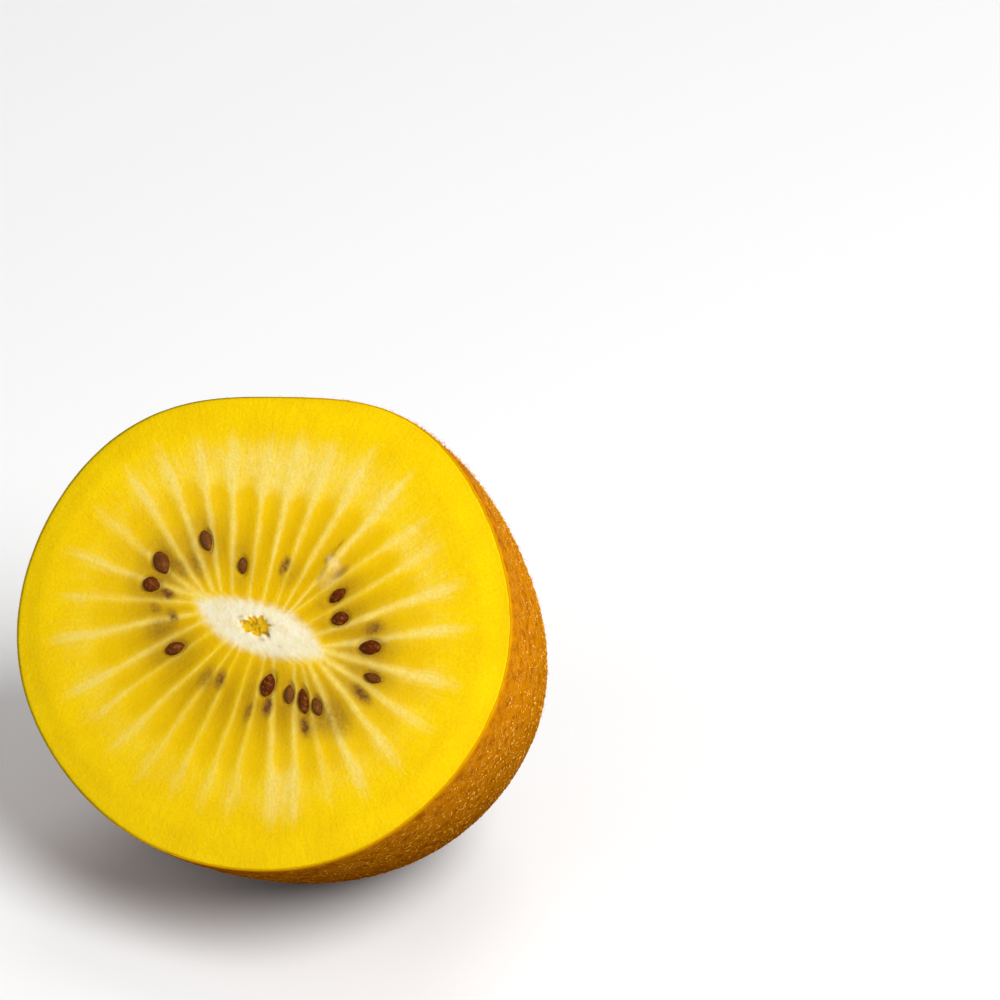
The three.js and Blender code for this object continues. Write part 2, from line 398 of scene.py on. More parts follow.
# Husks of crushed seeds, pale and dry: x, y, half length, half width, clock, strength
husks = [(5.3, 8.3, 1.1, 0.6, 150, 1.0), (5.6, 6.9, 1.9, 1.1, 70, 0.35)]
core = {
    "x": 0.2,
    "y": -0.1,
    "halfWidth": 8.1,
    "halfHeight": 2.6,
    "turn": -6.5,
    "scallop": 0.04,                # its edge is pulled in between rays by this share
    "rise": 0.1,
    "riseFades": (0.4, 0.95),       # share of the way from its middle to its edge
    "rings": 16,
    # the pale lens on it, in mm
    "paleX": 0.1,
    "paleWidth": 7.7,               # half the width, and below half the height
    "paleHeight": 2.45,
    "paleFullness": 2.4,
    "paleMiddle": (-0.2, 0.0003, -0.0013),  # its middle line: height, sag, and how far the tips turn off it
    "paleLumps": ((0.2, 0.9, 5.0), (0.12, 0.35, 6.0)),  # in its edge: height, size and noise seed
    "paleToRays": 0.15,             # its edge reaches out along each ray
    "paleEdgeFrom": -0.6,           # where its edge starts to fade
    "paleEdgeTo": (0.5, 0.8),       # where it ends, half way and at the tips
    "hazeFrom": (4, 7),             # the haze begins this far to each side
    "hazeReach": (0.2, 1.6),        # and lies this far outside the lens
}
pit = {
    "x": -0.3,
    "y": -0.05,
    "halfWidth": 2.1,
    "halfHeight": 1.3,
    "lobes": ((2, 0.06, -20), (3, 0.08, 50), (7, 0.1, 15), (12, 0.08, 80)),  # count, height, clock
    "depth": 0.22,
    "wall": (0.35, 1.0),            # share of the way out where the wall rises
    "gold": (0.4, 1.0),             # and where the gold fades out
    "crumbs": 0.15,
    "crumbSize": 0.45,
    "rings": 14,
}
face = {
    # relief: heights in mm, and the rest in shares of the way from the core to the skin
    "crest": 0.03,
    "trough": 0.08,
    "starts": 0.1,
    "deepest": 0.4,
    "ends": 0.8,
    "rimStarts": 0.85,
    # the grid
    "rows": 96,
    "rowCrowding": 0.9,             # below 1 the rows lie closer towards the skin
    "sideRings": 9,
    "endRings": 5,
    "phases": (0, 0.03, 0.07, 0.12, 0.18, 0.26, 0.37, 0.5, 0.63, 0.74, 0.82, 0.88, 0.93, 0.97),
    "sway": 0.25,
    "swaySize": 6.0,
    "grain": 0.02,
    "grainSize": 0.6,
    "socket": 0.22,                 # how deep each seed's socket is
    "socketFades": (1.0, 1.5),      # in sizes of the seed
    "skinGap": 0.03,                # between the flesh and the skin shell
    "fanRadius": 60,                # streaks are stretched along the rays in a fan of this radius
    "fanStretch": 0.3,
    # rays
    "rayWidth": (0.22, 0.45, 0.74),  # half width in mm by the core, half way and at the end
    "rayWidens": (4.5, 11),         # in mm from the middle
    "rayWidensMore": (0.5, 0.75),   # in shares of the outline
    "rayEnd": (0.84, 0.04),         # share of the outline: everywhere, and what the left side adds
    "rayLeft": (8, 22),             # mm to the left
    "rayReach": 0.08,               # how much further a stronger ray goes
    "rayUsual": 0.75,               # the strength that goes to just that end
    "rayFades": (0.14, 0.06),       # from before its end to past it
    "rayBegins": (-2.5, -1.0),      # in mm from the core's edge
    "rayLine": (0.7, 0.87),         # how pale its line is by the core and outside
    "rayBrightens": (5, 13),
    "halo": 0.29,                   # how pale the flesh is beside the line
    "haloWidth": 2.4,               # in widths of the line
    "haloBegins": (7, 14),
    # seed chambers, in shares of the outline
    "chamberEnd": (0.66, 0.05),     # on average, and what the core's line adds
    "chamberMist": (0.06, 0.3),     # how much sooner it ends with pale flesh past it, and how pale is usual
    "chamberCorners": 0.06,         # how much sooner it ends by the rays
    "chamberFades": (0.05, 0.04),   # from before its end to past it
    "darkest": (0.24, 0.16),        # share of the way from core to skin, and how far it spreads
    "darkByRays": 0.35,
    "goldFullness": 0.6,            # how soon the gold fills it between two rays
    "goldOutside": 0.62,            # how much gold is left outside
    "goldFades": (0.35, 0.62),
    "goldHaze": 0.6,                # how much of it the haze by the core hides
    "mist": 0.65,                   # how pale the flesh past a chamber is
    "mistFades": (0.16, 0.04),
    "haze": 0.55,                   # how pale the haze by the core is
    # the greener edge at the left rim, and painted shade low down in the same colour: how strong, and from
    # where to where
    "leftEdge": (0.7, 0, 18),
    "lowPaintedShade": (0.3, -5, 22),
    "rimBegins": (0.95, 1.0),
    "outerFlesh": (0.5, 0.85),      # where it begins
    # what deeper parts of seeds shade round them: strength, and where it fades in sizes of the seed
    "veilMargin": 0.25,             # mm
    "veils": ((0.35, 0.85, 1.4), (0.22, 1.0, 3.0)),
    "smudgeFades": (0.2, 1.2),
}


def onCore(clock, share=1.0):
    a = core["halfWidth"] * share * np.cos(np.radians(clock))
    b = core["halfHeight"] * share * np.sin(np.radians(clock))
    turn = math.radians(core["turn"])
    x = core["x"] + a * math.cos(turn) - b * math.sin(turn)
    return x, core["y"] + a * math.sin(turn) + b * math.cos(turn)


def onPit(clock, share=1.0):
    lobe = 1 + sum(high * np.sin(np.radians(count * (clock - at))) for count, high, at in pit["lobes"])
    x = pit["x"] + pit["halfWidth"] * share * lobe * np.cos(np.radians(clock))
    return x, pit["y"] + pit["halfHeight"] * share * lobe * np.sin(np.radians(clock))


def makeColumns():  # the grid's columns fan out from the core along the rays, and crowd beside each ray
    columns = []
    for index, (root, tip, *_) in enumerate(rays):
        last = index == len(rays) - 1
        nextRoot, nextTip = [clock + (360 if last else 0) for clock in rays[(index + 1) % len(rays)][:2]]
        for phase in face["phases"]:
            columns.append((blend(root, nextRoot, phase), blend(tip, nextTip, phase), index, phase))
    return np.array(columns).T


def facePoints(root, tip, ridge, share):  # share is -1 at the pit, 0 at the core's edge, 1 at the skin
    fromX, fromY = onCore(root, 1 - core["scallop"] * (1 - ridge))
    if share < 0:
        pitX, pitY = onPit(root)
        return blend(fromX, pitX, -share), blend(fromY, pitY, -share)
    toX, toY = onOutline(tip, 1 - fruit["skinThickness"] / fruit["meanRadius"])
    return blend(fromX, toX, share), blend(fromY, toY, share)


def swayed(x, y, tip, share):  # so that no ray runs dead straight
    sway = face["sway"] * 4 * max(share, 0) * (1 - share) * flatBumps(x, y, face["swaySize"], 8.0)
    return x - sway * np.sin(np.radians(tip)), y + sway * np.cos(np.radians(tip))


def inEllipse(x, y, centreX, centreY, length, width, clock):  # 0 in the middle, 1 on the edge
    turn = math.radians(clock)
    along = ((x - centreX) * math.cos(turn) + (y - centreY) * math.sin(turn)) / length
    across = ((y - centreY) * math.cos(turn) - (x - centreX) * math.sin(turn)) / width
    return np.sqrt(along**2 + across**2)


def inSeed(x, y, seed, margin=0.0):
    seedX, seedY, length, width, clock = seed[:5]
    return inEllipse(x, y, seedX, seedY, length / 2 + margin, width / 2 + margin, clock)


def rayEnd(x):
    return face["rayEnd"][0] + face["rayEnd"][1] * smooth(-x, *face["rayLeft"])


def paintRays(x, y, outward):
    radius = np.hypot(x, y)
    near, middle, far = face["rayWidth"]
    width = blend(near, middle, smooth(radius, *face["rayWidens"]))
    width = width + (far - middle) * smooth(outward, *face["rayWidensMore"])
    bright = blend(*face["rayLine"], smooth(radius, *face["rayBrightens"]))
    before, past = face["rayFades"]
    pale = 0
    for root, tip, strength, _ in rays:
        fromX, fromY = onCore(root)
        toX, toY = onOutline(tip)
        length = math.hypot(toX - fromX, toY - fromY)
        wayX, wayY = (toX - fromX) / length, (toY - fromY) / length
        along = (x - fromX) * wayX + (y - fromY) * wayY
        across = (x - fromX) * wayY - (y - fromY) * wayX
        end = rayEnd(x) + face["rayReach"] * (strength - face["rayUsual"])
        shown = (1 - smooth(outward, end - before, end + past)) * smooth(along, *face["rayBegins"])
        line = np.exp(-((across / width) ** 2)) * bright
        halo = face["halo"] * np.exp(-((across / (face["haloWidth"] * width)) ** 2))
        halo = halo * smooth(radius, *face["haloBegins"])
        pale = pale + strength * shown * np.maximum(line, halo)
    return pale


def paintSpots(x, y, spots):
    painted = 0
    for *ellipse, strength in spots:
        level = inEllipse(x, y, *ellipse)
        painted = np.maximum(painted, strength * (1 - smooth(level, *face["smudgeFades"])))
    return painted


def paintVeil(x, y):
    painted = paintSpots(x, y, smudges)
    for seed in seeds:
        level = inSeed(x, y, seed, face["veilMargin"])
        for strength, low, high in face["veils"]:
            painted = np.maximum(painted, strength * (1 - smooth(level, low, high)))
    return painted


def paintCore(x, y, ridge):  # a pale lens with a soft edge, and the haze round its two tips
    tips = np.clip(np.abs(x - core["paleX"]) / core["paleWidth"], 0, 1.2)
    level, sag, turned = core["paleMiddle"]
    off = np.abs(y - level - sag * x**2 - turned * x**3)
    outside = off - core["paleHeight"] * (1 - tips ** core["paleFullness"])
    for height, size, seed in core["paleLumps"]:
        outside = outside + height * flatBumps(x, y, size, seed)
    outside = outside + core["paleToRays"] * (0.5 - ridge)
    haze = smooth(np.abs(x), *core["hazeFrom"]) * (1 - smooth(outside, *core["hazeReach"]))
    return 1 - smooth(outside, core["paleEdgeFrom"], blend(*core["paleEdgeTo"], tips)), haze


def sideOn(clock):  # 0.25 above the core, 1 at its two ends and below
    return 1 - 0.75 * np.exp(-(((np.asarray(clock) % 360 - 90) / 45) ** 2))


def paintFace(tip, index, phase, ridge, share, x, y):  # what the material reads at each point
    outward = np.hypot(x, y) / outlineRadius(np.degrees(np.arctan2(y, x)))
    alongCore = np.cos(2 * np.radians(tip - core["turn"]))
    middle = 4 * phase * (1 - phase)
    mist = np.array(rays)[index.astype(int), 3]
    coreShare, haze = paintCore(x, y, ridge)

    darkest, reach = face["darkest"]
    deep = np.exp(-(((share - darkest) / reach) ** 2))
    deep = deep * blend(face["darkByRays"], 1.0, middle) * sideOn(tip)
    end = face["chamberEnd"][0] + face["chamberEnd"][1] * alongCore
    shortens, usual = face["chamberMist"]
    end = end - shortens * (mist - usual)
    before, after = face["chamberFades"]
    past = smooth(outward + face["chamberCorners"] * (1 - middle), end - before, end + after)
    gold = (1 - face["goldHaze"] * haze) * middle ** face["goldFullness"] * (1 - past)
    gold = gold * blend(1.0, face["goldOutside"], smooth(outward, *face["goldFades"]))

    before, after = face["mistFades"]
    mistFade = 1 - smooth(outward, rayEnd(x) - before, rayEnd(x) + after)
    pale = paintRays(x, y, outward) + face["mist"] * mist * past * mistFade
    lowShadeStrength, *low = face["lowPaintedShade"]
    leftStrength, *left = face["leftEdge"]
    # painted shade: the face darker towards the bottom and a little to the left
    below = smooth(-0.3 * x - y, *low)
    rim = smooth(outward, *face["rimBegins"]) * smooth(-x - 0.5 * y, *left)
    return {
        "pale": np.maximum(pale, face["haze"] * haze),
        "gold": gold,
        "deep": deep * (1 - haze),
        "core": coreShare,
        "veil": paintVeil(x, y),
        "husk": paintSpots(x, y, husks),
        "edge": np.maximum(leftStrength * rim, lowShadeStrength * below),
        "outward": smooth(outward, *face["outerFlesh"]),
    }


def faceHeight(x, y, ridge, share):
    if share < 0:
        level = inEllipse(x, y, core["x"], core["y"], core["halfWidth"], core["halfHeight"], core["turn"])
        return core["rise"] * (1 - smooth(level, *core["riseFades"]))
    towardSeeds = smooth(share, face["starts"], face["deepest"])
    fade = 1 - smooth(share, face["deepest"], face["ends"])
    relief = blend(-face["trough"], face["crest"], ridge) * towardSeeds * fade
    return relief - fruit["edgeDrop"] * smooth(share, face["rimStarts"], 1)


def makeFlesh():
    root, tip, index, phase = makeColumns()
    ridge = (1 + np.cos(2 * math.pi * phase)) / 2
    paints = ("pale", "gold", "deep", "core", "veil", "husk", "pit", "edge", "outward")
    rings = []
    painted = []

    def addRing(x, y, z, **paint):
        rings.append(np.stack(np.broadcast_arrays(x, y, z), axis=-1))
        painted.append({key: np.broadcast_to(paint.get(key, 0), root.shape) for key in paints})

    for share in np.linspace(0, 1, pit["rings"] + 1)[1:]:
        x, y = onPit(root, share)
        z = -pit["depth"] + (pit["depth"] + core["rise"]) * smooth(share, *pit["wall"])
        z = z + pit["crumbs"] * (1 - share) * flatBumps(x, y, pit["crumbSize"], 3.0)
        addRing(x, y, z, core=1, pit=1 - smooth(share, *pit["gold"]), veil=paintSpots(x, y, smudges))
    fromPit = np.linspace(-1, 0, core["rings"] + 1)[1:-1]
    fromCore = np.linspace(0, 1, face["rows"]) ** face["rowCrowding"]
    for share in [*fromPit, *fromCore]:
        x, y = facePoints(root, tip, ridge, share)
        paint = paintFace(tip, index, phase, ridge, share, x, y)
        x, y = swayed(x, y, tip, share)
        z = faceHeight(x, y, ridge, share)
        for seed in seeds:
            z = blend(z, -face["socket"], 1 - smooth(inSeed(x, y, seed), *face["socketFades"]))
        addRing(x, y, z, **paint)
    for ring in rings:
        ring[:, 2] += face["grain"] * bumps(ring, face["grainSize"])

    inside = 1 - (fruit["skinThickness"] + face["skinGap"]) / fruit["meanRadius"]
    for share in sideShares(face["sideRings"], face["endRings"]):
        x, y, z = np.moveaxis(sidePoint(tip, share) * inside, -1, 0)
        addRing(x, y, z)
    start = (pit["x"], pit["y"], -pit["depth"])
    points, faces = loft(start, rings, sidePoint(0, 0) * inside)
    material = makeFleshMaterial(fleshLook)
    piece = makePiece("kiwi_flesh", points, faces, material, fruit["skinThickness"])
    for key in paints:
        store(piece, key, np.concatenate([[painted[0][key][0]], *[paint[key] for paint in painted], [0]]))
    spokes = np.radians(np.concatenate([[0], np.tile(tip, len(rings)), [0]]))
    outward = np.hypot(points[:, 0], points[:, 1]) * face["fanStretch"]
    radius = face["fanRadius"]
    fan = np.stack([radius * np.cos(spokes), radius * np.sin(spokes), outward], axis=-1)
    store(piece, "fan", fan, "FLOAT_VECTOR")


# Seeds that show: x, y, length, width, clock of the long axis, and how far a film of flesh hides it
seeds = [
    (-9.3, 6.6, 2.5, 1.3, 130, 0.4), (-13.2, 3.1, 2.8, 1.75, 139, 0.25), (-13.4, 0.7, 2.1, 1.6, 0, 0.1),
    (-8.2, -4.7, 2.3, 1.35, 35, 0.15), (-4.3, 5.3, 1.9, 1.0, 115, 0.35), (6.95, 5.3, 2.1, 1.15, 58, 0),
    (8.1, 3.2, 2.0, 1.45, 25, 0), (12.4, 1.4, 2.5, 1.5, 17, 0), (13.85, -1.4, 2.1, 1.0, -3, 0.25),
    (3.2, -5.3, 2.5, 1.55, 94, 0), (5.8, -5.5, 2.1, 1.1, 112, 0.45), (7.6, -5.7, 2.8, 1.1, 122, 0.05),
    (9.2, -5.8, 2.1, 1.1, 130, 0.35),
]
seedShape = {
    "thickness": 1.4,
    "middleDepth": 0.3,             # below the level of the face
    "filmDepth": 0.12,              # and what a whole film adds
    "bluntness": 0.62,              # 0.5 is an ellipse, less is blunter
    "taper": 0.22,
    "lumpShare": 0.035,
    "lumpSize": 0.3,
    "rings": 20,
    "sides": 24,
    "bare": srgb(86, 32, 0),
    "bareLight": srgb(142, 78, 22),
    "film": srgb(126, 84, 38),
    "filmCover": (0.6, 0.8),
    "mottleSize": 0.35,
    "dimpleSize": 0.16,
    "dimpleDepth": 0.05,
    "roughness": (0.25, 0.45),
    "specular": 0.06,
}


def makeSeedMaterial(look):
    shader = Shader("seed coat")
    spot = shader.place()
    dimples = shader.cells(spot, look["dimpleSize"])
    mottle = shader.cloud(spot, look["mottleSize"], 3.0, 0.65)
    color = shader.tint(look["bare"], look["bareLight"], shader.ease(mottle, 0.48, 0.7))
    film = shader.cover(shader.stored("film"), mottle, *look["filmCover"])
    color = shader.tint(color, look["film"], film)
    return shader.finish({
        "Base Color": color,
        "Roughness": shader.ease(dimples, 0.0, 0.7, *look["roughness"]),
        "Normal": shader.bump(dimples, look["dimpleDepth"]),
        "Specular IOR Level": look["specular"],
    })


def makeSeeds():
    points = []
    faces = []
    films = []
    along = np.linspace(0, 1, seedShape["rings"] + 2)[1:-1]
    girth = np.sin(math.pi * along) ** seedShape["bluntness"] * (1 - seedShape["taper"] * (along - 0.5))
    around = np.linspace(0, 2 * math.pi, seedShape["sides"], endpoint=False)
    for x, y, length, width, clock, film in seeds:
        turn = math.radians(clock)
        outward = 1 if x * math.cos(turn) + y * math.sin(turn) > 0 else -1  # the thick end is the outer one
        axis = outward * (0.5 - along)[:, None] * length + 0 * around
        side = girth[:, None] * width / 2 * np.cos(around)
        rise = girth[:, None] * seedShape["thickness"] / 2 * np.sin(around)
        rings = np.stack([axis, side * outward, rise], axis=-1)
        rings[..., 2] -= seedShape["middleDepth"] + seedShape["filmDepth"] * film
        ends = [np.array([outward * e * length, 0, -seedShape["middleDepth"]]) for e in (0.5, -0.5)]
        seedPoints, seedFaces = loft(ends[0], rings, ends[1])
        lumps = seedShape["lumpShare"] * bumps(seedPoints + [x, y, 0], seedShape["lumpSize"])
        seedPoints *= 1 + lumps[:, None]
        spin = [[math.cos(turn), math.sin(turn), 0], [-math.sin(turn), math.cos(turn), 0], [0, 0, 1]]
        faces += [[corner + len(films) for corner in f] for f in seedFaces]
        points.append(seedPoints @ np.array(spin) + [x, y, 0])
        films += [film] * len(seedPoints)
    piece = makePiece("kiwi_seeds", np.concatenate(points), faces, makeSeedMaterial(seedShape))
    store(piece, "film", films)


# The skin, a thin shell that ends at the cut
skin = {
    "columns": 240,
    "sideRings": 70,
    "endRings": 26,
    "innerRings": (18, 6),
    "lumpHeight": 0.06,
    "lumpSize": 3.0,
    # rings over the cut rim: share of the thickness inward, and height
    "rim": ((0.97, -0.02), (0.6, 0.04), (0.25, 0.03), (0.0, -0.06)),
    "rimWave": 0.05,
    "rimWaveSize": 1.5,
    # where colours change, in mm
    "rimDepth": (0.25, 0.6),
    "awayDepth": (13, 27),
    "leftPart": (-4, 14),
    # painted shade: the skin is darkened from the floor up to this height
    "paintedShadeHeight": (0, 34),
    "brown": srgb(200, 124, 6),
    "darkBrown": srgb(144, 74, 0),
    # the colour of the painted shade low down on the skin
    "paintedShade": srgb(68, 26, 0),
    "gold": srgb(188, 132, 4),
    "olive": srgb(158, 122, 4),
    "dot": srgb(236, 160, 54),
    "rimRight": srgb(226, 160, 0),
    "rimLeft": srgb(134, 118, 6),
    # how thick they lie
    "goldCover": (0.65, 1.0),       # from the least to the most
    "oliveCover": 0.6,
    "darkCover": (0.7, 0.35),       # near the cut, and how much less away from it
    "dotCover": (0.35, 0.5),        # near the cut, and how much more away from it
    "paintedShadeCover": (0.8, 0.3),
    # sizes and depths in mm
    "patchSize": 9.0,
    "mottleSize": 1.2,
    "dotSize": 1.1,
    "dotDepth": 0.03,
    "wrinkleSize": 0.35,
    "wrinkleDepth": 0.03,
    "roughness": (0.42, 0.6),
    "specular": 0.0,
}


def makeSkinMaterial(look):
    shader = Shader("fruit skin")
    spot = shader.place()
    patch = shader.cloud(spot, look["patchSize"], 3.0)
    mottle = shader.cloud(spot, look["mottleSize"], 4.0, 0.6)
    away = shader.stored("away")
    color = shader.tint(look["brown"], look["gold"], away * shader.ease(patch, 0.3, 0.7, *look["goldCover"]))
    color = shader.tint(color, look["olive"], away * shader.ease(patch, 0.6, 0.4, 0.0, look["oliveCover"]))
    most, less = look["darkCover"]
    color = shader.tint(color, look["darkBrown"], shader.ease(mottle, 0.45, 0.7) * (most - less * away))
    dots = shader.ease(shader.cells(spot, look["dotSize"]) + 0.4 * mottle, 0.48, 0.26)
    color = shader.tint(color, look["dot"], shader.cover(dots, away, *look["dotCover"]))
    # painted shade: the skin darker the nearer it lies to the floor
    under = shader.cover(shader.stored("under"), mottle, *look["paintedShadeCover"])
    color = shader.tint(color, look["paintedShade"], under)
    rim = shader.tint(look["rimRight"], look["rimLeft"], shader.stored("left"))
    color = shader.tint(color, rim, shader.stored("rim"))
    wrinkles = shader.cloud(spot, look["wrinkleSize"], 3.0, 0.6)
    normal = shader.bump(wrinkles, look["wrinkleDepth"])
    return shader.finish({
        "Base Color": color,
        "Roughness": shader.ease(mottle, 0.3, 0.7, *look["roughness"]),
        "Normal": shader.bump(dots, look["dotDepth"], normal),
        "Specular IOR Level": look["specular"],
    })


def makeSkin():
    clock = np.linspace(0, 360, skin["columns"], endpoint=False)
    outer = [sidePoint(clock, share) for share in sideShares(skin["sideRings"], skin["endRings"])]
    for ring in outer:
        lumps = skin["lumpHeight"] * bumps(ring, skin["lumpSize"], 9.0)
        ring[:, :2] *= 1 + lumps[:, None] / fruit["meanRadius"]
    thin = 1 - fruit["skinThickness"] / fruit["meanRadius"]
    inner = [sidePoint(clock, share) * thin for share in sideShares(*skin["innerRings"])]
    wave = skin["rimWave"] * bumps(sidePoint(clock, 1.0), skin["rimWaveSize"], 4.0)
    rim = []
    for inward, rise in skin["rim"]:
        x, y = onOutline(clock, 1 - inward * fruit["skinThickness"] / fruit["meanRadius"])
        rim.append(np.stack([x, y, rise + wave - fruit["edgeDrop"]], axis=-1))
    rings = inner[::-1] + rim + outer
    points, faces = loft(sidePoint(0, 0) * thin, rings, sidePoint(0, 0))
    piece = makePiece("kiwi_skin", points, faces, makeSkinMaterial(skin))
    depth = -points[:, 2]
    store(piece, "rim", 1 - smooth(depth, *skin["rimDepth"]))
    store(piece, "away", smooth(depth, *skin["awayDepth"]))
    store(piece, "left", smooth(-points[:, 0], *skin["leftPart"]))
    # how much painted shade each point gets: full at the floor, none higher up
    store(piece, "under", 1 - smooth(toWorld(points)[:, 2] / mm, *skin["paintedShadeHeight"]))


# The woody scar where the stalk sat
scar = {
    "radius": 2.4,
    "height": 0.75,
    "sunk": 0.4,
    "rings": 12,
    "sides": 60,
    "ragged": ((5, 0.06, 0), (11, 0.04, 40)),  # waves in its outline: count, share of the radius, turn
    "middle": 0.45,                 # shares of the height
    "crown": 0.55,
    "crownAt": 0.7,                 # share of the radius
    "crownWidth": 0.22,
    "shoulder": 0.9,
    "shoulderPower": 8,
    "foot": 0.96,                   # share of the radius
    "ribs": 9,
    "ribHeight": 0.12,
    "lumpHeight": 0.12,
    "lumpSize": 0.5,
    "woodFrom": 0.1,                # mm above the skin where the dark colour starts to give way to wood; all lower parts are dark
    "wood": srgb(122, 80, 40),
    "darkWood": srgb(48, 28, 14),
    "grainSize": 0.3,
    "grainDepth": 0.12,
    "roughness": 0.8,
    "specular": 0.2,
}


def makeScarMaterial(look):
    shader = Shader("stem scar")
    spot = shader.place()
    grain = shader.cloud(spot, look["grainSize"], 4.0, 0.65)
    # darker the lower it lies above the skin: in the dished middle and where it sinks into the skin
    wood = shader.ease(grain, 0.35, 0.65) * shader.stored("proud")
    return shader.finish({
        "Base Color": shader.tint(look["darkWood"], look["wood"], wood),
        "Roughness": look["roughness"],
        "Normal": shader.bump(grain, look["grainDepth"]),
        "Specular IOR Level": look["specular"],
    })


def makeScar():
    clock = -np.linspace(0, 360, scar["sides"], endpoint=False)
    bottom = sidePoint(0, 0)[2]
    ragged = 1
    for count, height, turn in scar["ragged"]:
        ragged = ragged + height * np.sin(np.radians(clock * count + turn))
    rings = []
    for share in np.linspace(0, 1, scar["rings"] + 1)[1:]:
        radius = scar["radius"] * share * ragged
        x = radius * np.cos(np.radians(clock))
        y = radius * np.sin(np.radians(clock))
        crown = scar["crown"] * math.exp(-(((share - scar["crownAt"]) / scar["crownWidth"]) ** 2))
        profile = scar["middle"] + crown - scar["shoulder"] * share ** scar["shoulderPower"]
        ribbed = scar["ribHeight"] * share * np.cos(np.radians(clock * scar["ribs"]))
        top = np.stack([x, y, bottom - scar["height"] * (profile + ribbed)], axis=-1)
        top[:, 2] += scar["lumpHeight"] * bumps(top, scar["lumpSize"], 2.0)
        rings.append(top)
    below = rings[-1] * [scar["foot"], scar["foot"], 1]
    below[:, 2] = bottom + scar["sunk"]
    rings.append(below)
    points, faces = loft(rings[0].mean(axis=0), rings, (0, 0, bottom + scar["sunk"]))
    piece = makePiece("stem_scar", points, faces, makeScarMaterial(scar))
    store(piece, "proud", smooth(bottom - points[:, 2], scar["woodFrom"], scar["height"]))


# Short flecks of down lying on the skin, and finer hairs that stand off it near the cut
down = {
    "flecks": 9000,
    "fleckLength": (0.22, 0.6),
    "fleckThickness": (0.08, 0.16),
    "fleckSlope": (0, 6),
    "fleckMargins": (0.25, 0.3),    # mm left bare by the cut and at the stem end
    "hairs": 2200,
    "hairLength": (0.35, 0.95),
    "hairThickness": (0.02, 0.035),
    "hairSlope": (10, 40),
    "hairClock": (20, 42),          # the side where most hairs stand, and how far they spread
    "hairMargin": 0.15,             # mm left bare by the cut
    "hairDepth": 4.0,               # how far past that they stand on average
    "hairDeepest": 30,
    "spread": 38,                   # degrees to each side of the way round the fruit
    "bend": 22,                     # degrees at each knot
    "seed": 7,
    # strands are thinner and darker low down, by the cut and towards the stem end; darker low down is
    # painted shade
    "height": (2, 24),
    "lowThickness": 0.45,
    "byCut": (0.5, 3),
    "byCutShare": 0.6,
    "away": (12, 22),
    "awayShare": 0.55,
    "shades": (0.3, 1),
    # each strand: where its start, knots and end are, in shares of its thickness off the skin
    "startSunk": 0.4,
    "knotRise": 0.2,
    "endSunk": 0.3,
    "tan": srgb(255, 196, 76),
    # the dark end of the strands' tone, also used as painted shade low down
    "brown": srgb(170, 92, 2),
    "roughness": 0.55,
    "specular": 0.0,
}


def makeDownMaterial(look):
    shader = Shader("skin down")
    return shader.finish({
        "Base Color": shader.tint(look["brown"], look["tan"], shader.stored("shade")),
        "Roughness": look["roughness"],
        "Specular IOR Level": look["specular"],
    })


def strands(draw, clock, depth, lengths, thicknesses, slopes):  # each one ends in a point both ways
    count = len(clock)
    power = fruit["sideFullness"]
    share = (1 - (depth / fruit["halfLength"]) ** power) ** (1 / power)
    base = sidePoint(clock, share)
    around = sidePoint(clock + 0.5, share) - base
    along = sidePoint(clock, share * 0.995) - base
    around /= np.linalg.norm(around, axis=1)[:, None]
    along /= np.linalg.norm(along, axis=1)[:, None]
    outward = np.cross(around, along)
    outward *= np.sign(np.sum(outward * base, axis=1))[:, None]
    heading = np.radians(draw.normal(0, down["spread"], count) + 180 * draw.integers(0, 2, count))[:, None]
    slope = np.radians(draw.uniform(*slopes, count))[:, None]
    flat = around * np.cos(heading) + along * np.sin(heading)
    way = flat * np.cos(slope) + outward * np.sin(slope)
    length = draw.uniform(*lengths, count)[:, None]

    above = smooth(toWorld(base)[:, 2] / mm, *down["height"])
    worn = blend(down["byCutShare"], 1, smooth(depth, *down["byCut"]))
    worn = worn * blend(1, down["awayShare"], smooth(depth, *down["away"]))
    thick = (draw.uniform(*thicknesses, count) * blend(down["lowThickness"], 1, above) * worn)[:, None]

    side = np.cross(way, outward)
    side /= np.linalg.norm(side, axis=1)[:, None]
    over = np.cross(side, way)
    bend = np.radians(draw.normal(0, down["bend"], count))[:, None]
    start = base - outward * thick * down["startSunk"]
    first = base + way * length * 0.33 + outward * thick * down["knotRise"]
    second = first + (way * np.cos(bend) + side * np.sin(bend)) * length * 0.34
    end = second + (way * np.cos(2 * bend) + side * np.sin(2 * bend)) * length * 0.33
    end = end - outward * thick * down["endSunk"]

    corners = []
    for knot in (first, second):
        for a in np.radians((0, 240, 120)):
            corners.append(knot + thick / 2 * (side * math.cos(a) + over * math.sin(a)))
    points = np.stack([start, *corners, end], axis=1).reshape(-1, 3)
    sides = ((1, 2), (2, 3), (3, 1))  # point 0 is the start, 1 to 3 and 4 to 6 are the knots, 7 is the end
    pattern = [[0, b, a] for a, b in sides] + [[7, a + 3, b + 3] for a, b in sides]
    for a, b in sides:
        pattern += [[a, b, b + 3], [a, b + 3, a + 3]]
    faces = (8 * np.arange(count)[:, None, None] + np.array(pattern)).reshape(-1, 3)
    # each strand's tone: random, darker by the cut and towards the stem end, and painted shade low down
    return points, faces, np.repeat(draw.uniform(*down["shades"], count) * above * worn, 8)


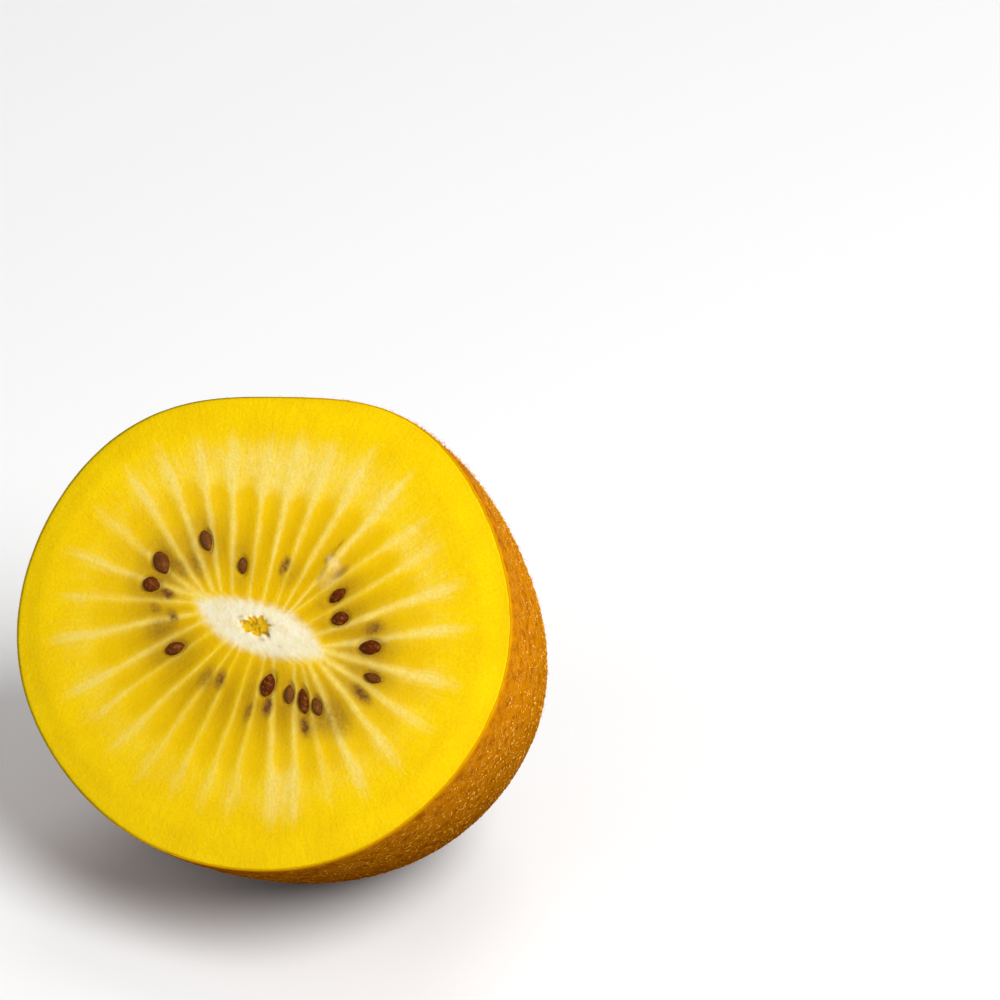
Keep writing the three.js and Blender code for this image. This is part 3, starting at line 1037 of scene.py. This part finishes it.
def makeDown():
    draw = np.random.default_rng(down["seed"])
    flecks, hairs = down["flecks"], down["hairs"]
    byCut, byStem = down["fleckMargins"]
    everywhere = draw.uniform(0, 360, flecks), draw.uniform(byCut, fruit["halfLength"] - byStem, flecks)
    hairClocks = draw.normal(*down["hairClock"], hairs)
    hairDepths = draw.exponential(down["hairDepth"], hairs).clip(0, down["hairDeepest"])
    nearCut = hairClocks, down["hairMargin"] + hairDepths
    kinds = (
        (everywhere, down["fleckLength"], down["fleckThickness"], down["fleckSlope"]),
        (nearCut, down["hairLength"], down["hairThickness"], down["hairSlope"]),
    )
    points = np.empty((0, 3))
    faces = []
    shades = []
    for places, *shape in kinds:
        newPoints, newFaces, newShades = strands(draw, *places, *shape)
        faces += (newFaces + len(points)).tolist()
        points = np.concatenate([points, newPoints])
        shades += newShades.tolist()
    piece = makePiece("skin_down", points, faces, makeDownMaterial(down))
    store(piece, "shade", shades)


makeFlesh()
makeSeeds()
makeSkin()
makeScar()
makeDown()
print("fruit made")

# Floor, light and camera
stage = {
    "floorSize": 6.0,
    "floorDrop": 0.02,              # mm below the fruit
    "floor": srgb(246, 246, 246),
    "floorRoughness": 0.9,
    "floorSpecular": 0.1,
    "world": srgb(255, 255, 255),
    "worldStrength": 0.22,
    "aimHeight": 0.02,              # metres above the floor
    "lights": [
        # name, turn from the camera, height above the horizon, distance, size, watts
        ("key", 48, 46, 0.75, 0.55, 6.15),
        ("fill", -55, 35, 0.9, 0.7, 1.15),
        ("back", 165, 40, 0.9, 0.6, 2.2),
    ],
}
camera = {
    "azimuth": 31.3,
    "elevation": 29.9,
    "distance": 550.0,
    "pixelsPerMm": 10.044,
    "facePixel": (259.2, 626.2),    # where the middle of the face stands in the picture
    "picture": 1000,
    "sensor": 36.0,
}


def makeFloor():
    half = stage["floorSize"] / 2
    corners = ((-half, -half), (half, -half), (half, half), (-half, half))
    mesh = bpy.data.meshes.new("floor")
    mesh.from_pydata([(x, y, -stage["floorDrop"] * mm) for x, y in corners], [], [(0, 1, 2, 3)])
    shader = Shader("pale floor")
    mesh.materials.append(shader.finish({
        "Base Color": stage["floor"],
        "Roughness": stage["floorRoughness"],
        "Specular IOR Level": stage["floorSpecular"],
    }))
    floor = bpy.data.objects.new("floor", mesh)
    bpy.context.scene.collection.objects.link(floor)


def direction(azimuth, elevation):  # from the fruit to a point round it, as seen from above the horizon
    a, e = math.radians(azimuth), math.radians(elevation)
    return Vector((math.sin(a) * math.cos(e), -math.cos(a) * math.cos(e), math.sin(e)))


def makeLights():
    middle = Vector((0, 0, stage["aimHeight"]))
    for name, turn, height, distance, size, watts in stage["lights"]:
        light = bpy.data.lights.new(name, "AREA")
        light.shape = "DISK"
        light.size = size
        light.energy = watts
        lamp = bpy.data.objects.new(name, light)
        way = direction(camera["azimuth"] + turn, height)
        lamp.location = middle + way * distance
        lamp.rotation_euler = way.to_track_quat("Z", "Y").to_euler()
        bpy.context.scene.collection.objects.link(lamp)
    world = bpy.data.worlds.new("studio")
    world.use_nodes = True
    background = world.node_tree.nodes["Background"]
    background.inputs["Color"].default_value = stage["world"]
    background.inputs["Strength"].default_value = stage["worldStrength"]
    bpy.context.scene.world = world


def makeCamera():
    back = direction(camera["azimuth"], camera["elevation"])
    turn = math.radians(camera["azimuth"])
    right = Vector((math.cos(turn), math.sin(turn), 0))
    up = back.cross(right)
    faceMiddle = Vector(toWorld([0, 0, 0]))
    scale = camera["pixelsPerMm"]
    offRight = (camera["facePixel"][0] - camera["picture"] / 2) / scale * mm
    offDown = (camera["facePixel"][1] - camera["picture"] / 2) / scale * mm
    data = bpy.data.cameras.new("camera")
    data.sensor_width = camera["sensor"]
    data.lens = camera["sensor"] * scale * camera["distance"] / camera["picture"]
    eye = bpy.data.objects.new("camera", data)
    eye.location = faceMiddle - right * offRight + up * offDown + back * camera["distance"] * mm
    eye.rotation_euler = back.to_track_quat("Z", "Y").to_euler()
    bpy.context.scene.collection.objects.link(eye)
    bpy.context.scene.camera = eye


makeFloor()
makeLights()
makeCamera()
bpy.context.scene.view_settings.view_transform = "Standard"
print("stage set")
